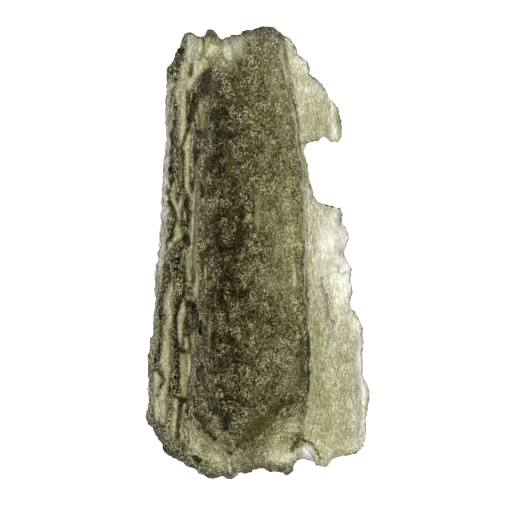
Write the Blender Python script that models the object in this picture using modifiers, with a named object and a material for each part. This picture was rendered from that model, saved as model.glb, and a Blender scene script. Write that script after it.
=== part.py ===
"""Raw moldavite: one piece of natural olive-green glass, long, fluted and broken.

A thick etched body runs the length of the piece.  A furrowed flank falls away on its left,
and a thin see-through flange, with a bite broken out of it, steps down on its right.
The piece lies on its flatter side.  +Z is up, +Y runs along its length, units are metres.
"""
import bpy
import bmesh
import numpy as np
from mathutils import Vector, kdtree, noise

MM = 0.001

# ---- driving dimensions, in millimetres -----------------------------------------------
WIDTH = 22.5              # across the lower end, the widest place
LENGTH = 45.4             # from the crust of the upper break to the lower points
SLAB = 2.0                # the blank that the lower and upper surfaces are drawn from
BLANK_GRAIN = 0.2         # spacing of the points on the blank
TRIANGLES = 9300          # what the finished solid may use

RIM_SHARE = 0.3           # height left at the very edge, as a share of the thickness behind it
RIM_REACH = 0.3           # how far in the rounding of the edge runs, as a share of thickness
RIM_REACH_LIMITS = (0.35, 1.8)

FLANGE_LIFT = 0.55        # how far the flange's outer edge stands off the ground
FLANK_LIFT = 0.7          # the same for the left edge

FLUTE_SIZE = (1.5, 8.0)   # shallow flutes of the lower side: across, and along the piece
FLUTE_DEPTH = 0.75
LEDGE_SIZE = (2.2, 3.4, 0.9)  # ledges of the broken sides: across, along and up
LEDGE_DEPTH = 0.55
LEDGE_REACH = 1.3
PIT_SEED = 11
PIT_COUNT = 210           # hollows big enough to show from a step away
PIT_RADIUS = (0.35, 0.95)
PIT_DEPTH = (0.14, 0.42)
PIT_STRETCH = 1.5         # hollows are longer along the piece than across it

COLLECTION_NAME = "raw_moldavite"
NODE_NAME = "moldavite"
GLASS_COLOUR = (0.24, 0.235, 0.115)
GLASS_ROUGHNESS = 0.22
GLASS_IOR = 1.49

# ---- outline, clockwise from the upper left, in millimetres from the middle -----------
UPPER_BREAK = [
    (-9.05, 18.2), (-8.85, 18.55), (-8.5, 18.8), (-8.4, 19.3), (-8.0, 20.2), (-7.7, 20.55),
    (-7.6, 21.2), (-7.5, 21.7), (-7.25, 21.9), (-6.75, 22.1), (-6.35, 21.9), (-5.85, 21.6),
    (-5.4, 21.4), (-5.2, 21.7), (-5.15, 22.05), (-4.65, 22.4), (-4.35, 22.15), (-3.75, 21.8),
    (-3.95, 21.45), (-3.6, 21.2), (-2.95, 21.35), (-2.5, 21.55), (-2.3, 21.9), (-2.15, 21.6),
    (-1.6, 21.75), (-1.4, 22.2), (-1.05, 22.35), (-0.65, 22.15), (-0.2, 22.15), (0.1, 22.45),
    (0.5, 22.6), (0.95, 22.4), (1.8, 22.45), (2.05, 22.1), (2.3, 21.65),
]
UPPER_FLAP = [
    (2.95, 21.7), (3.25, 21.4), (3.7, 20.95), (4.05, 20.45), (4.1, 20.05), (3.95, 19.8),
    (4.3, 19.6), (4.55, 19.6), (5.15, 18.9), (5.25, 18.55), (5.15, 18.2), (5.3, 17.75),
    (5.6, 17.4), (6.05, 17.2), (6.5, 16.9), (6.85, 16.55), (7.05, 16.0), (7.3, 15.35),
    (7.75, 14.95), (8.1, 14.65), (8.2, 14.0), (8.45, 12.8), (8.55, 12.25), (8.5, 11.7),
    (8.55, 11.3), (8.2, 11.1), (7.5, 10.9), (7.15, 11.05), (6.95, 11.4), (6.65, 11.7),
    (6.4, 11.75), (6.25, 11.45),
]
BITE = [
    (6.2, 11.1), (5.7, 11.0), (5.2, 11.1), (4.95, 10.85), (4.75, 10.45), (4.7, 9.95),
    (4.85, 9.3), (5.1, 8.75), (5.2, 8.2), (5.15, 7.6), (5.3, 6.9), (5.6, 5.85), (5.8, 5.4),
]
FLANGE_EDGE = [
    (6.0, 5.1), (6.35, 5.0), (6.7, 4.8), (7.15, 4.8), (7.6, 4.6), (8.4, 4.6), (8.55, 4.3),
    (8.5, 3.8), (8.8, 2.7), (9.1, 2.1), (9.25, 1.55), (9.1, 0.9), (8.9, 0.4), (8.65, 0.15),
    (8.75, -0.3), (9.05, -0.85), (9.4, -1.25), (9.5, -1.7), (9.35, -2.6), (9.6, -3.95),
    (9.5, -4.55), (9.25, -5.0), (9.35, -5.5), (9.8, -6.0), (10.25, -6.6), (10.55, -7.2),
    (10.65, -8.0), (10.7, -9.0), (10.5, -10.4), (10.65, -11.05), (10.5, -12.2),
    (10.7, -12.7), (11.05, -13.1), (11.2, -13.75), (11.25, -14.7), (11.0, -15.5),
    (10.9, -17.4), (10.85, -18.5), (10.75, -19.2), (10.35, -19.75),
]
LOWER_RIGHT = [
    (9.85, -20.1), (8.5, -20.35), (7.9, -20.45), (7.4, -20.8), (7.1, -21.2), (6.9, -21.45),
    (6.55, -21.45), (6.1, -21.25), (5.6, -20.9), (5.0, -20.65), (4.5, -20.5), (4.15, -20.7),
    (3.85, -20.9), (3.7, -21.35), (3.75, -21.75), (3.4, -21.9), (3.15, -22.15), (2.85, -22.25),
]
LOWER_BREAK = [
    (2.65, -22.0), (2.35, -21.75), (1.6, -21.85), (1.2, -21.85), (0.85, -21.6), (-0.5, -21.65),
    (-0.8, -21.85), (-0.9, -22.35), (-1.3, -21.95), (-1.75, -21.85), (-2.15, -22.2),
    (-2.6, -22.65), (-2.9, -22.7), (-3.3, -22.45), (-3.7, -22.3), (-4.2, -22.7),
    (-4.55, -22.55), (-4.9, -22.5), (-5.25, -22.25), (-5.55, -22.2), (-6.0, -21.8),
    (-6.65, -21.4), (-7.1, -21.15), (-7.7, -20.7), (-8.25, -20.65), (-8.75, -20.4),
    (-9.4, -19.85), (-9.55, -19.25), (-9.7, -18.7), (-10.05, -18.3), (-10.3, -17.7),
    (-10.55, -17.25), (-10.9, -16.8), (-11.2, -16.35),
]
LEFT_EDGE = [
    (-11.1, -15.8), (-10.95, -15.2), (-10.8, -14.7), (-10.85, -12.8), (-10.85, -10.15),
    (-10.65, -9.3), (-10.7, -8.7), (-10.45, -8.15), (-10.35, -7.5), (-10.2, -4.7),
    (-10.1, -1.7), (-9.9, -0.3), (-9.75, 0.6), (-9.75, 1.3), (-9.5, 2.7), (-9.6, 3.7),
    (-9.5, 4.3), (-9.55, 6.2), (-9.35, 7.4), (-9.45, 8.3), (-9.1, 11.1), (-9.1, 12.5),
    (-9.2, 14.1), (-9.1, 15.6), (-9.05, 16.5), (-8.9, 17.4),
]
OUTLINE = UPPER_BREAK + UPPER_FLAP + BITE + FLANGE_EDGE + LOWER_RIGHT + LOWER_BREAK + LEFT_EDGE

# ---- rails: lines down the length, each with its place across and the thickness there --
STATIONS = (22.5, 20, 16, 12, 8, 4, 0, -4, -8, -12, -16, -19, -22.5)
STEP_LINE = (2.35, 2.3, 3.1, 3.9, 4.5, 4.7, 4.7, 4.65, 5.2, 5.15, 5.0, 4.4, 3.6)
STEP_SHELF = -0.2         # the rails at the top and the foot of the step, from its line
STEP_FOOT = 0.35
STEP_APRON = 1.6          # where the flange reaches its own even thickness
RAILS = [
    # left edge
    ((-7.6, -8.2, -9.1, -9.1, -9.4, -9.6, -9.9, -10.2, -10.4, -10.8, -11.1, -9.7, -8.0),
     (2.2, 2.6, 3.0, 3.6, 3.9, 4.0, 4.1, 4.2, 4.2, 3.7, 3.4, 3.8, 2.4)),
    # furrowed flank
    ((-6.5, -6.4, -6.9, -7.0, -7.1, -7.3, -7.6, -7.9, -8.1, -8.4, -8.4, -7.8, -6.5),
     (2.4, 3.4, 4.6, 5.2, 5.4, 5.5, 5.6, 5.6, 5.5, 5.2, 4.9, 4.6, 2.4)),
    # crest of the body
    ((-1.0, -1.2, -3.9, -3.9, -3.7, -3.6, -3.4, -3.6, -3.6, -3.4, -2.6, -1.0, -1.5),
     (4.2, 5.8, 8.2, 8.8, 9.0, 8.8, 8.8, 9.0, 9.0, 8.8, 8.6, 6.8, 3.2)),
    # right of the body
    ((0.8, 0.8, 0.2, 0.0, 0.0, 0.0, 0.0, 0.0, 0.2, 0.4, 0.6, 1.0, 1.0),
     (3.9, 5.4, 6.6, 7.0, 7.0, 7.2, 7.4, 7.4, 7.8, 7.5, 7.8, 6.0, 2.6)),
    (tuple(x + STEP_SHELF for x in STEP_LINE),
     (2.4, 4.2, 4.8, 5.0, 5.2, 5.2, 4.9, 5.2, 6.0, 6.2, 5.2, 4.0, 2.4)),
    (tuple(x + STEP_FOOT for x in STEP_LINE),
     (1.2, 1.4, 2.2, 2.6, 2.6, 2.5, 2.5, 2.9, 3.9, 4.1, 3.7, 3.4, 2.2)),
    (tuple(x + STEP_APRON for x in STEP_LINE),
     (0.9, 1.0, 2.2, 2.6, 1.6, 1.9, 1.9, 2.3, 2.8, 2.9, 3.0, 2.8, 2.0)),
    # outer edge of the flange
    ((4.5, 4.8, 7.2, 8.6, 6.9, 8.6, 9.0, 9.4, 10.6, 11.0, 10.9, 10.2, 8.0),
     (0.8, 0.8, 1.0, 1.0, 0.9, 0.8, 0.8, 1.0, 1.6, 1.9, 1.8, 1.7, 1.4)),
]

# ---- furrows of the upper side: path from end to end, half width, depth ----------------
FURROWS = {
    # smooth channels of the flank, where the glass is thin
    "upper_window": ([(-6.2, 21.1), (-6.2, 19.5)], 0.8, 1.0),
    "upper_window_tail": ([(-6.7, 19.3), (-7.4, 17.7)], 0.4, 1.2),
    "shoulder_channel": ([(-5.2, 19.0), (-5.9, 18.5), (-6.3, 17.3), (-7.2, 16.4)], 0.45, 1.8),
    "upper_channel": ([(-7.35, 16.4), (-7.35, 14.2), (-7.45, 12.3), (-7.6, 11.0)], 0.4, 2.2),
    "middle_channel": ([(-6.6, 12.3), (-7.0, 11.0), (-7.0, 8.0), (-7.05, 6.8), (-6.55, 5.4)],
                       0.45, 2.3),
    "inner_channel": ([(-6.15, 6.7), (-6.4, 3.5), (-6.5, 1.0), (-6.85, -0.4), (-6.7, -2.9)],
                      0.4, 2.1),
    "outer_channel": ([(-8.4, 6.9), (-8.55, 5.7), (-7.9, 3.7), (-7.7, 2.4), (-8.5, 0.8)],
                      0.45, 1.8),
    "low_channel": ([(-8.6, -3.0), (-8.85, -5.2), (-8.7, -7.0), (-9.1, -10.4), (-9.2, -13.7),
                     (-9.45, -16.7)], 0.6, 1.7),
    "crescent_channel": ([(-7.15, -5.1), (-7.65, -6.6), (-7.65, -9.0)], 0.4, 2.1),
    "foot_channel": ([(-6.9, -9.7), (-7.05, -12.4), (-7.35, -14.3)], 0.55, 2.2),
    "twin_channel_left": ([(-8.05, -14.5), (-8.2, -16.8), (-8.35, -18.4)], 0.3, 1.3),
    "twin_channel_right": ([(-7.25, -14.9), (-7.4, -17.2), (-6.75, -18.7)], 0.35, 1.4),
    "corner_channel": ([(-10.0, -12.0), (-10.0, -16.6)], 0.4, 0.9),
    # dark pockets and lines
    "upper_pocket": ([(-5.0, 17.9), (-5.3, 16.5), (-5.75, 15.6)], 0.6, 0.7),
    "dark_pocket": ([(-6.5, -5.6), (-6.55, -7.6)], 0.7, 0.6),
    "body_line": ([(-4.25, -6.2), (-4.15, -9.7)], 0.35, 0.5),
    "crescent": ([(-5.75, -0.9), (-5.1, 0.1), (-4.45, 0.55), (-2.95, 0.5)], 0.4, 0.6),
    "smooth_band": ([(4.25, -14.0), (2.75, -14.9), (1.25, -15.9), (-0.25, -17.5),
                     (-2.5, -19.2)], 0.85, 0.6),
    "smooth_streak": ([(-2.85, 17.0), (-1.75, 15.5), (-0.75, 14.6)], 0.5, 0.4),
    "upper_flake": ([(-2.85, 21.6), (-2.9, 19.9)], 0.8, 1.6),
    "flange_crack": ([(6.45, -2.5), (6.5, -3.4), (7.0, -4.6), (7.2, -6.2)], 0.3, 0.35),
    "dimple": ([(8.3, -1.8), (8.7, -1.9)], 0.45, 0.4),
    "lower_lens": ([(4.1, -20.0), (5.3, -20.0)], 0.8, 1.1),
}
# ---- ribs and lumps that stand up: the same, with a height -----------------------------
RIBS = {
    "upper_rib": ([(-6.35, 15.6), (-6.5, 13.8), (-6.7, 12.9)], 0.45, 0.6),
    "edge_rib": ([(-8.3, 16.1), (-8.4, 11.0), (-8.0, 7.5)], 0.45, 0.5),
    "trough_rib": ([(-7.9, -0.2), (-7.8, -3.7), (-8.1, -8.2), (-8.2, -13.5)], 0.4, 0.5),
    "edge_rib_low": ([(-9.4, 0.0), (-9.5, -4.7), (-9.9, -9.7)], 0.35, 0.4),
    "step_lip": ([(4.1, 9.0), (4.5, 4.0), (4.5, 0.0), (4.4, -4.0)], 0.35, 0.35),
    "flap_core": ([(6.1, 14.2), (6.3, 11.9)], 1.0, 0.9),
    "flange_rib": ([(9.1, -9.0), (9.2, -15.0), (9.0, -18.5)], 0.7, 0.6),
    "lens_ridge": ([(0.1, 5.8), (0.2, 2.6)], 0.4, 0.35),
    "lower_fan": ([(6.9, -17.6), (6.7, -20.6)], 0.5, 0.35),
}

# ---- worn spots of the lower side that it rests on: centre, half width, half length ----
REST_SPOTS = {
    "middle": (-2.6, -1.0, 1.5, 4.2),
    "upper": (-2.2, 14.5, 1.3, 1.8),
    "lower": (-2.6, -15.2, 1.4, 2.0),
    "left": (-6.8, -7.0, 0.9, 2.2),
    "right": (2.9, -5.0, 0.9, 2.4),
}
REST_BLEND = 1.1          # how far past a spot's edge its flat runs out, as a share


def clear_scene():
    """Remove every object that is already in the file."""
    for old in list(bpy.data.objects):
        bpy.data.objects.remove(old, do_unlink=True)


def smooth(t):
    """Ease from 0 to 1 with no corner at either end."""
    t = np.clip(t, 0.0, 1.0)
    return t * t * (3.0 - 2.0 * t)


def read_points(mesh):
    """Points of a mesh, in millimetres."""
    flat = np.empty(len(mesh.vertices) * 3)
    mesh.vertices.foreach_get("co", flat)
    return flat.reshape(-1, 3) / MM


def write_points(mesh, points):
    """Give a mesh the points, in millimetres."""
    mesh.vertices.foreach_set("co", (points * MM).ravel())
    mesh.update()


def noise_at(points, size, seed):
    """Smooth noise from -1 to 1 with lumps of the given size, one value a point."""
    shift = Vector((seed * 17.3, seed * 5.1, seed * 9.7))
    scale = np.array(size, dtype=float)
    return np.array([noise.noise(Vector(p / scale) + shift) for p in points])


def path_distance(points, path):
    """Distance across the piece from each point to a path, and how far along it lies."""
    best = np.full(len(points), 1e9)
    along = np.zeros(len(points))
    nodes = np.array(path)
    for index, (start, end) in enumerate(zip(nodes[:-1], nodes[1:])):
        run = end - start
        t = np.clip((points[:, :2] - start) @ run / (run @ run), 0.0, 1.0)
        distance = np.hypot(*(points[:, :2] - start - t[:, None] * run).T)
        nearer = distance < best
        best[nearer] = distance[nearer]
        along[nearer] = ((index + t) / (len(nodes) - 1))[nearer]
    return best, along


def path_relief(points, features):
    """Sum of the rounded strips along each feature's path, deepest at its middle."""
    relief = np.zeros(len(points))
    for path, half_width, depth in features.values():
        distance, along = path_distance(points, path)
        taper = 0.55 + 0.45 * np.sin(np.pi * along)
        relief += depth * taper * smooth(1.0 - distance / (2.0 * half_width))
    return relief


def rail_thickness(points):
    """Thickness between the rails, eased across from one to the next."""
    levels = STATIONS[::-1]
    places = [np.interp(points[:, 1], levels, rail[0][::-1]) for rail in RAILS]
    heights = [np.interp(points[:, 1], levels, rail[1][::-1]) for rail in RAILS]
    thickness = heights[0].copy()
    for left, right, low, high in zip(places[:-1], places[1:], heights[:-1], heights[1:]):
        t = smooth((points[:, 0] - left) / (right - left))
        thickness += (high - low) * t
    return thickness


def nearest_rim(points):
    """Distance from each point to the outline, and the way inwards from there."""
    corners = [Vector((x, y, 0.0)) for x, y in OUTLINE]
    marks = []
    inwards = []
    for start, end in zip(corners, corners[1:] + corners[:1]):
        run = end - start
        steps = max(1, round(run.length / (BLANK_GRAIN / 2)))
        marks += [start.lerp(end, step / steps) for step in range(steps)]
        inwards += [(run.y / run.length, -run.x / run.length)] * steps
    tree = kdtree.KDTree(len(marks))
    for index, mark in enumerate(marks):
        tree.insert(mark, index)
    tree.balance()
    found = [tree.find((x, y, 0.0)) for x, y, _ in points]
    distance = np.array([hit[2] for hit in found])
    return distance, np.array([inwards[hit[1]] for hit in found])


def hollows(points, rng, low, high):
    """Etched hollows scattered over a stretch of the piece, longer than they are wide."""
    relief = np.zeros(len(points))
    for _ in range(PIT_COUNT):
        centre = rng.uniform(low, high)
        radius = rng.uniform(*PIT_RADIUS)
        depth = rng.uniform(*PIT_DEPTH)
        offset = (points[:, :2] - centre) / (radius, radius * PIT_STRETCH)
        relief = np.maximum(relief, depth * smooth(1.0 - np.hypot(*offset.T)))
    return relief


def lower_surface(points):
    """Height of the lower side: flutes and hollows, lifted towards both edges."""
    x, y = points[:, 0], points[:, 1]
    flat = np.column_stack([x, y, np.zeros(len(x))])
    flutes = FLUTE_DEPTH * np.abs(noise_at(flat, (*FLUTE_SIZE, 1.0), 3))
    lumps = 0.22 * noise_at(flat, (2.6, 4.2, 2.6), 4) + 0.12 * noise_at(flat, (1.1, 2.0, 1.1), 5)
    pits = hollows(points, np.random.default_rng(PIT_SEED + 1), (-10.5, -22.0), (10.5, 22.0))
    step = np.interp(y, STATIONS[::-1], STEP_LINE[::-1])
    lift = FLANGE_LIFT * smooth((x - step) / 5.0) + FLANK_LIFT * smooth((-6.5 - x) / 3.5)
    height = np.maximum(0.12 + flutes + lumps + 0.6 * pits + lift, 0.0)
    for centre_x, centre_y, half_width, half_length in REST_SPOTS.values():
        away = np.hypot((x - centre_x) / half_width, (y - centre_y) / half_length)
        height *= smooth((away - 1.0) / REST_BLEND)
    return height


def thickness_over(points, rim):
    """Thickness of the glass: rails, furrows, ribs, hollows and the rounded rim."""
    flat = np.column_stack([points[:, 0], points[:, 1], np.zeros(len(points))])
    thickness = rail_thickness(points)
    relief = path_relief(points, RIBS) - path_relief(points, FURROWS)
    relief += 0.30 * noise_at(flat, (1.5, 5.0, 1.5), 7) + 0.18 * noise_at(flat, (0.8, 1.7, 0.8), 8)
    relief -= hollows(points, np.random.default_rng(PIT_SEED), (-8.5, -21.5), (4.8, 21.5))
    thickness = np.maximum(thickness + relief * smooth(thickness / 5.0), 0.35 * thickness)
    reach = np.clip(RIM_REACH * thickness, *RIM_REACH_LIMITS)
    round_off = 1.0 - np.clip(rim / reach, 0.0, 1.0)
    return thickness * (RIM_SHARE + (1.0 - RIM_SHARE) * np.sqrt(1.0 - round_off ** 2))


def make_blank():
    """The outline as an even slab of small faces."""
    curve = bpy.data.curves.new("outline", "CURVE")
    curve.dimensions = "2D"
    curve.fill_mode = "BOTH"
    curve.extrude = 0.5 * SLAB * MM
    spline = curve.splines.new("POLY")
    spline.points.add(len(OUTLINE) - 1)
    for point, (x, y) in zip(spline.points, OUTLINE):
        point.co = (x * MM, y * MM, 0.0, 1.0)
    spline.use_cyclic_u = True
    outline = bpy.data.objects.new("outline", curve)
    bpy.context.scene.collection.objects.link(outline)
    bpy.context.view_layer.update()
    plate = bpy.data.meshes.new_from_object(outline.evaluated_get(
        bpy.context.evaluated_depsgraph_get()))
    bpy.data.objects.remove(outline, do_unlink=True)
    weld(plate)
    return shaped_by(plate, "blank", "REMESH", mode="VOXEL", voxel_size=BLANK_GRAIN * MM)


def weld(mesh):
    """Join points that lie together."""
    work = bmesh.new()
    work.from_mesh(mesh)
    bmesh.ops.remove_doubles(work, verts=work.verts, dist=0.001 * MM)
    bmesh.ops.recalc_face_normals(work, faces=work.faces)
    work.to_mesh(mesh)
    work.free()


def shaped_by(mesh, name, kind, **settings):
    """A new mesh, as one modifier leaves the given one."""
    holder = bpy.data.objects.new(name, mesh)
    bpy.context.scene.collection.objects.link(holder)
    modifier = holder.modifiers.new(name, kind)
    for setting, value in settings.items():
        setattr(modifier, setting, value)
    bpy.context.view_layer.update()
    result = bpy.data.meshes.new_from_object(holder.evaluated_get(
        bpy.context.evaluated_depsgraph_get()))
    bpy.data.objects.remove(holder, do_unlink=True)
    return result


def shape_glass(blank):
    """Draw the blank out between the lower and the upper surface."""
    points = read_points(blank)
    share = np.clip(points[:, 2] / SLAB + 0.5, 0.0, 1.0)
    rim, inwards = nearest_rim(points)
    thickness = thickness_over(points, rim)
    behind_rim = rail_thickness(points)
    lifted = 0.45 * np.maximum(behind_rim - thickness, 0.0) * smooth(1.0 - rim / 2.0)
    points[:, 2] = lower_surface(points) + lifted + share * thickness
    ledges = LEDGE_DEPTH * np.abs(noise_at(points, LEDGE_SIZE, 9)) * smooth(thickness / 3.0)
    points[:, :2] += inwards * (ledges * np.clip(1.0 - rim / LEDGE_REACH, 0.0, 1.0))[:, None]
    write_points(blank, points)
    return blank


def reduce_and_seat(dense):
    """Bring the triangle count down, then set the piece on the ground at the middle."""
    faces = sum(len(face.vertices) - 2 for face in dense.polygons)
    light = shaped_by(dense, "light", "DECIMATE", ratio=TRIANGLES / faces,
                      use_collapse_triangulate=True)
    points = read_points(light)
    low, high = points.min(axis=0), points.max(axis=0)
    points[:, 0] -= 0.5 * (low[0] + high[0])
    points[:, 1] -= 0.5 * (low[1] + high[1])
    points[:, 0] *= WIDTH / (high[0] - low[0])
    points[:, 1] *= LENGTH / (high[1] - low[1])
    worn = points[:, 2] < low[2] + 0.03
    points[:, 2] = np.where(worn, 0.0, points[:, 2] - low[2])
    write_points(light, points)
    return light


def glass_material():
    """See-through olive glass."""
    material = bpy.data.materials.new("olive_glass")
    material.use_nodes = True
    shader = material.node_tree.nodes["Principled BSDF"]
    shader.inputs["Base Color"].default_value = (*GLASS_COLOUR, 1.0)
    shader.inputs["Roughness"].default_value = GLASS_ROUGHNESS
    shader.inputs["Metallic"].default_value = 0.0
    shader.inputs["Transmission Weight"].default_value = 1.0
    shader.inputs["IOR"].default_value = GLASS_IOR
    return material


def build():
    clear_scene()
    collection = bpy.data.collections.new(COLLECTION_NAME)
    bpy.context.scene.collection.children.link(collection)
    mesh = reduce_and_seat(shape_glass(make_blank()))
    mesh.name = NODE_NAME
    mesh.materials.clear()
    mesh.materials.append(glass_material())
    piece = bpy.data.objects.new(NODE_NAME, mesh)
    collection.objects.link(piece)
    bpy.context.view_layer.update()


build()
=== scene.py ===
# Raw moldavite: the stone's etched skin and olive glass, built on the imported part's frame.
import bmesh
import bpy
import numpy as np
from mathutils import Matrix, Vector, kdtree, noise
from mathutils.bvhtree import BVHTree


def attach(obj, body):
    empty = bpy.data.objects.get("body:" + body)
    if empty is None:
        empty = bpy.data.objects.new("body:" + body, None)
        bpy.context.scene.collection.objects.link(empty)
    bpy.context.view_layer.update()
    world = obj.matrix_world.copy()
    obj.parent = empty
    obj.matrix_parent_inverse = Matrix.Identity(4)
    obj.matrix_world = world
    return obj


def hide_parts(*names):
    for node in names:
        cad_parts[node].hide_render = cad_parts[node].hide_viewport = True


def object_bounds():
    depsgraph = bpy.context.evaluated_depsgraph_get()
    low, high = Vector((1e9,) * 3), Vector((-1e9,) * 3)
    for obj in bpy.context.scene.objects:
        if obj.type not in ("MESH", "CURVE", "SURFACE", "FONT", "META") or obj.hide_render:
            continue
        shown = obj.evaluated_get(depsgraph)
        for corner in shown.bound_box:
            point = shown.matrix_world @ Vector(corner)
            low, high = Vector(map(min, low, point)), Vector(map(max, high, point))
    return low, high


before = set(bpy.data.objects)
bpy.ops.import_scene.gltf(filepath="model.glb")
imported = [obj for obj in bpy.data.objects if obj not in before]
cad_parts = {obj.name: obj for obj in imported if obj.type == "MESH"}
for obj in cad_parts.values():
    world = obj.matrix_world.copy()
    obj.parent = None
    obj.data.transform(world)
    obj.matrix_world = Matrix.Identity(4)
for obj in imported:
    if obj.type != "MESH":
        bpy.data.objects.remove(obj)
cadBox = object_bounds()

mm = 0.001  # sizes are in mm, unless a note says m
stoneNode = "moldavite"
tiny = 0.001  # anything less counts as none


def fade(value, limits):
    # 0 at the first limit, 1 at the second, and soft in between
    start, end = limits
    t = np.clip((value - start) / (end - start), 0.0, 1.0)
    return t * t * (3.0 - 2.0 * t)


def readVectors(items, field):
    flat = np.empty(len(items) * 3)
    items.foreach_get(field, flat)
    return flat.reshape(-1, 3)


# a fade says where something begins and where it is at full strength
skin = {
    "grain": 0.293,  # spacing of the skin's points on the lower side
    "smoothing": 2,  # rounds of smoothing, and the share of each
    "smoothShare": 0.5,
    "finerAbove": 0.12,  # faces that look up more than this are cut finer
    "finerRounding": 0.4,
    "upperFade": (-0.1, 0.4),  # from the lower side to the upper, by slope
    "cups": ((0.6, 0.8, 0.6), 4.0),  # etched cups: size across, along and up, and seed
    "cupDepth": 0.13,
    "cupLevel": 0.55,  # share of its depth that a cup goes in
    "cupReach": 0.75,  # how far its walls are from its middle, as a share
    "fineCups": ((0.33, 0.4, 0.33), 7.0),
    "fineDepth": 0.06,
    "fineLevel": 0.5,
    "strands": ((0.26, 2.6, 0.26), 9.0),  # lengthwise strands of the drawn glass
    "strandDepth": 0.11,
    "bodyStrands": 0.25,  # how strong they are on the body, as a share
    "lumps": ((1.3, 2.1, 1.3), 12.0),
    "lumpDepth": 0.16,
    "chips": ((0.42, 0.42, 0.42), 15.0),  # ragged chips of the outline
    "chipDepth": 0.19,
    "chipFade": (0.45, 0.15),
    "wander": ((0.42, 0.7, 0.42), 21.0),  # unevenness of every edge
    "flangeSmoothness": 0.72,  # how much less the flange is etched, as a share
    "windowSmoothness": 0.8,  # how much weaker the strands are in smooth places
    "restFade": (0.5, 0.1),  # heights near the floor, where the skin stays flat
    "restDepth": 0.04,
}
noiseShift = (13.7, 7.9, 3.3)  # how far apart the noise of two seeds lies


def noiseOver(points, size, seed):
    # soft noise from -1 to 1, with lumps of the given size
    shift = Vector([seed * step for step in noiseShift])
    return np.array([noise.noise(Vector(p) + shift) for p in points / np.array(size)])


cupShift = (5.3, 11.1, 2.7)  # the same for the cups


def cupsOver(points, size, seed):
    # etched cups: 0 at the middle of a cup, up to 1 on the sharp ridges between them
    shift = Vector([seed * step for step in cupShift])
    near = np.array([noise.voronoi(Vector(p) + shift)[0][0] for p in points / np.array(size)])
    return np.clip(near / skin["cupReach"], 0.0, 1.0) ** 2


def evenSkin(source):
    # an even skin over the CAD solid, twice as fine on the upper side
    body = bpy.data.objects.new("skinBlank", source.data.copy())
    bpy.context.scene.collection.objects.link(body)
    remesh = body.modifiers.new("even", "REMESH")
    remesh.mode = "VOXEL"
    remesh.voxel_size = skin["grain"] * mm
    soften = body.modifiers.new("soften", "SMOOTH")
    soften.factor = skin["smoothShare"]
    soften.iterations = skin["smoothing"]
    bpy.context.view_layer.update()
    ready = body.evaluated_get(bpy.context.evaluated_depsgraph_get())
    mesh = bpy.data.meshes.new_from_object(ready)
    bpy.data.objects.remove(body, do_unlink=True)
    work = bmesh.new()
    work.from_mesh(mesh)
    work.normal_update()
    above = skin["finerAbove"]
    upperEdges = [edge for edge in work.edges
                  if any(face.normal.z > above for face in edge.link_faces)]
    bmesh.ops.subdivide_edges(work, edges=upperEdges, cuts=1, use_grid_fill=True,
                              smooth=skin["finerRounding"])
    bmesh.ops.triangulate(work, faces=[face for face in work.faces if len(face.verts) > 4])
    work.to_mesh(mesh)
    work.free()
    return mesh


underStone = -5.0  # a height under the whole stone


def glassBelow(points, tree):
    # height of the lower side straight under each point
    heights = np.zeros(len(points))
    for index, p in enumerate(points):
        hit = tree.ray_cast(Vector((p[0], p[1], underStone)), Vector((0.0, 0.0, 1.0)))
        heights[index] = hit[0].z if hit[0] is not None else p[2]
    return heights


def rimDistance(mesh, points):
    # distance in from the stone's outline, seen from above
    work = bmesh.new()
    work.from_mesh(mesh)
    work.normal_update()
    turns = [edge for edge in work.edges if edge.is_manifold
             and edge.link_faces[0].normal.z * edge.link_faces[1].normal.z < 0.0]
    tree = kdtree.KDTree(len(turns))
    for index, edge in enumerate(turns):
        middle = (edge.verts[0].co + edge.verts[1].co) / (2.0 * mm)
        tree.insert(Vector((middle.x, middle.y, 0.0)), index)
    work.free()
    tree.balance()
    return np.array([tree.find(Vector((x, y, 0.0)))[2] for x, y, _ in points])


def etchSkin(points, normals, upper, rim, smooth, flange, flank):
    # etched cups, strands and lumps over everything that isn't smooth
    etched = (1.0 - smooth) * (1.0 - skin["flangeSmoothness"] * flange)
    cups = cupsOver(points, *skin["cups"])
    fine = cupsOver(points, *skin["fineCups"])
    strands = noiseOver(points, *skin["strands"])
    lumps = noiseOver(points, *skin["lumps"])
    chips = noiseOver(points, *skin["chips"])
    stranded = skin["bodyStrands"] + (1.0 - skin["bodyStrands"]) * np.maximum(flank, flange)
    stranded *= 1.0 - skin["windowSmoothness"] * smooth
    relief = skin["cupDepth"] * (cups - skin["cupLevel"]) * etched
    relief += skin["fineDepth"] * (fine - skin["fineLevel"]) * etched
    relief += skin["strandDepth"] * strands * stranded
    relief += skin["lumpDepth"] * lumps * etched
    relief += skin["chipDepth"] * chips * fade(rim, skin["chipFade"])
    resting = fade(points[:, 2], skin["restFade"]) * (1.0 - upper)
    relief -= resting * (np.abs(relief) + skin["restDepth"])
    points += normals * relief[:, None]
    points[:, 2] = np.maximum(points[:, 2], 0.0)
    return relief, strands


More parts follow.
